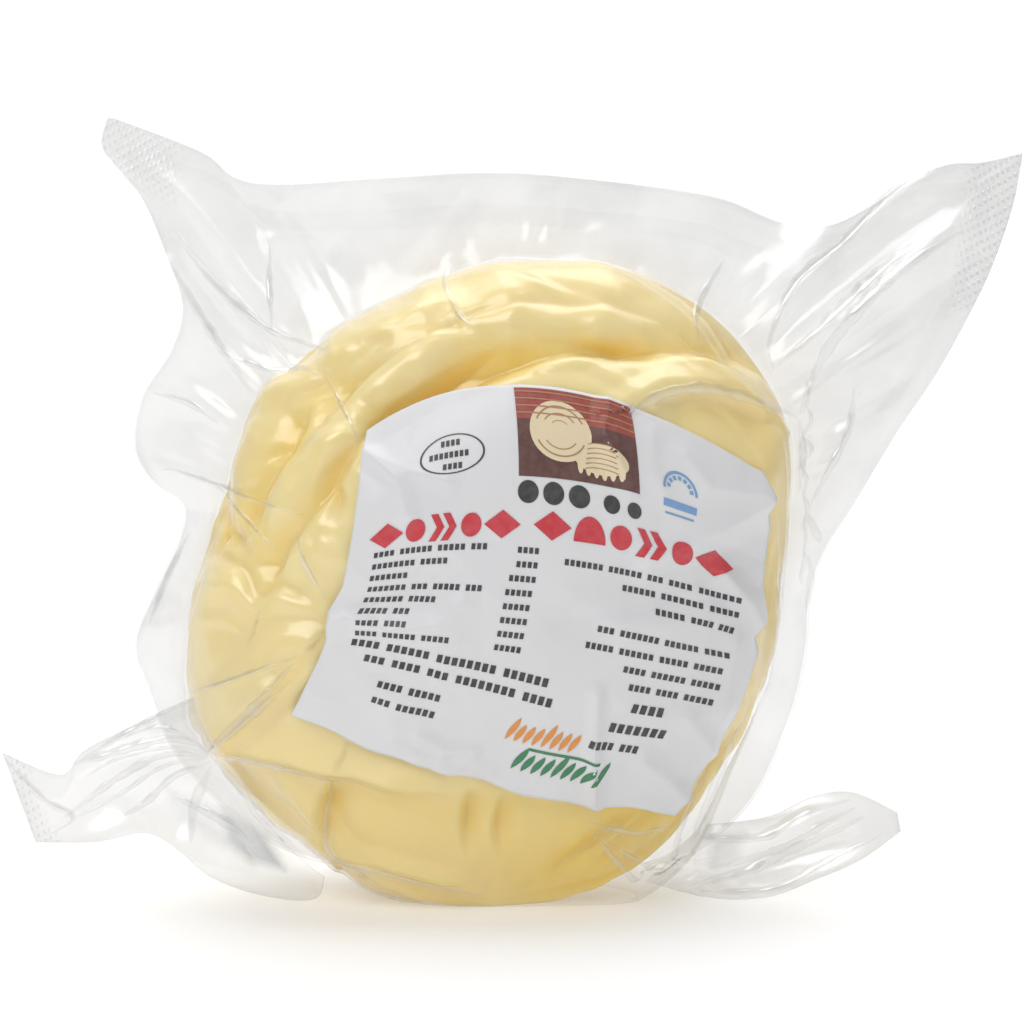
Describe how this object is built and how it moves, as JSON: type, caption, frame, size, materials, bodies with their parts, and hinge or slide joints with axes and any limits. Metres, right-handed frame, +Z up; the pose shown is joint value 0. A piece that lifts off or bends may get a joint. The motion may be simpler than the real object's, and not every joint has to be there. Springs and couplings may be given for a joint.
{
  "type": "vacuum-packed string cheese ball",
  "caption": "Ball of pulled-curd string cheese wound from one strand, vacuum-packed in a clear pouch with a wavy film flange, two gathered corners and a white paper label, standing on its foot.",
  "frame": {"origin": "on the floor under the ball, in the middle of its small flat foot", "axes": "+X to the right of the label, +Y to the back, +Z up"},
  "size_m": [0.193, 0.0647, 0.1482],
  "materials": {
    "film": "clear, soft and slightly hazy, with folds",
    "cheese": "pale cream pulled curd with a soft satin sheen",
    "paper": "white paper, lightly creased",
    "print": "matt print in black, red, brown, blue, orange and green"
  },
  "bodies": {
    "root": {"vacuum_pouch": "film", "label": "paper"}
  },
  "joints": []
}
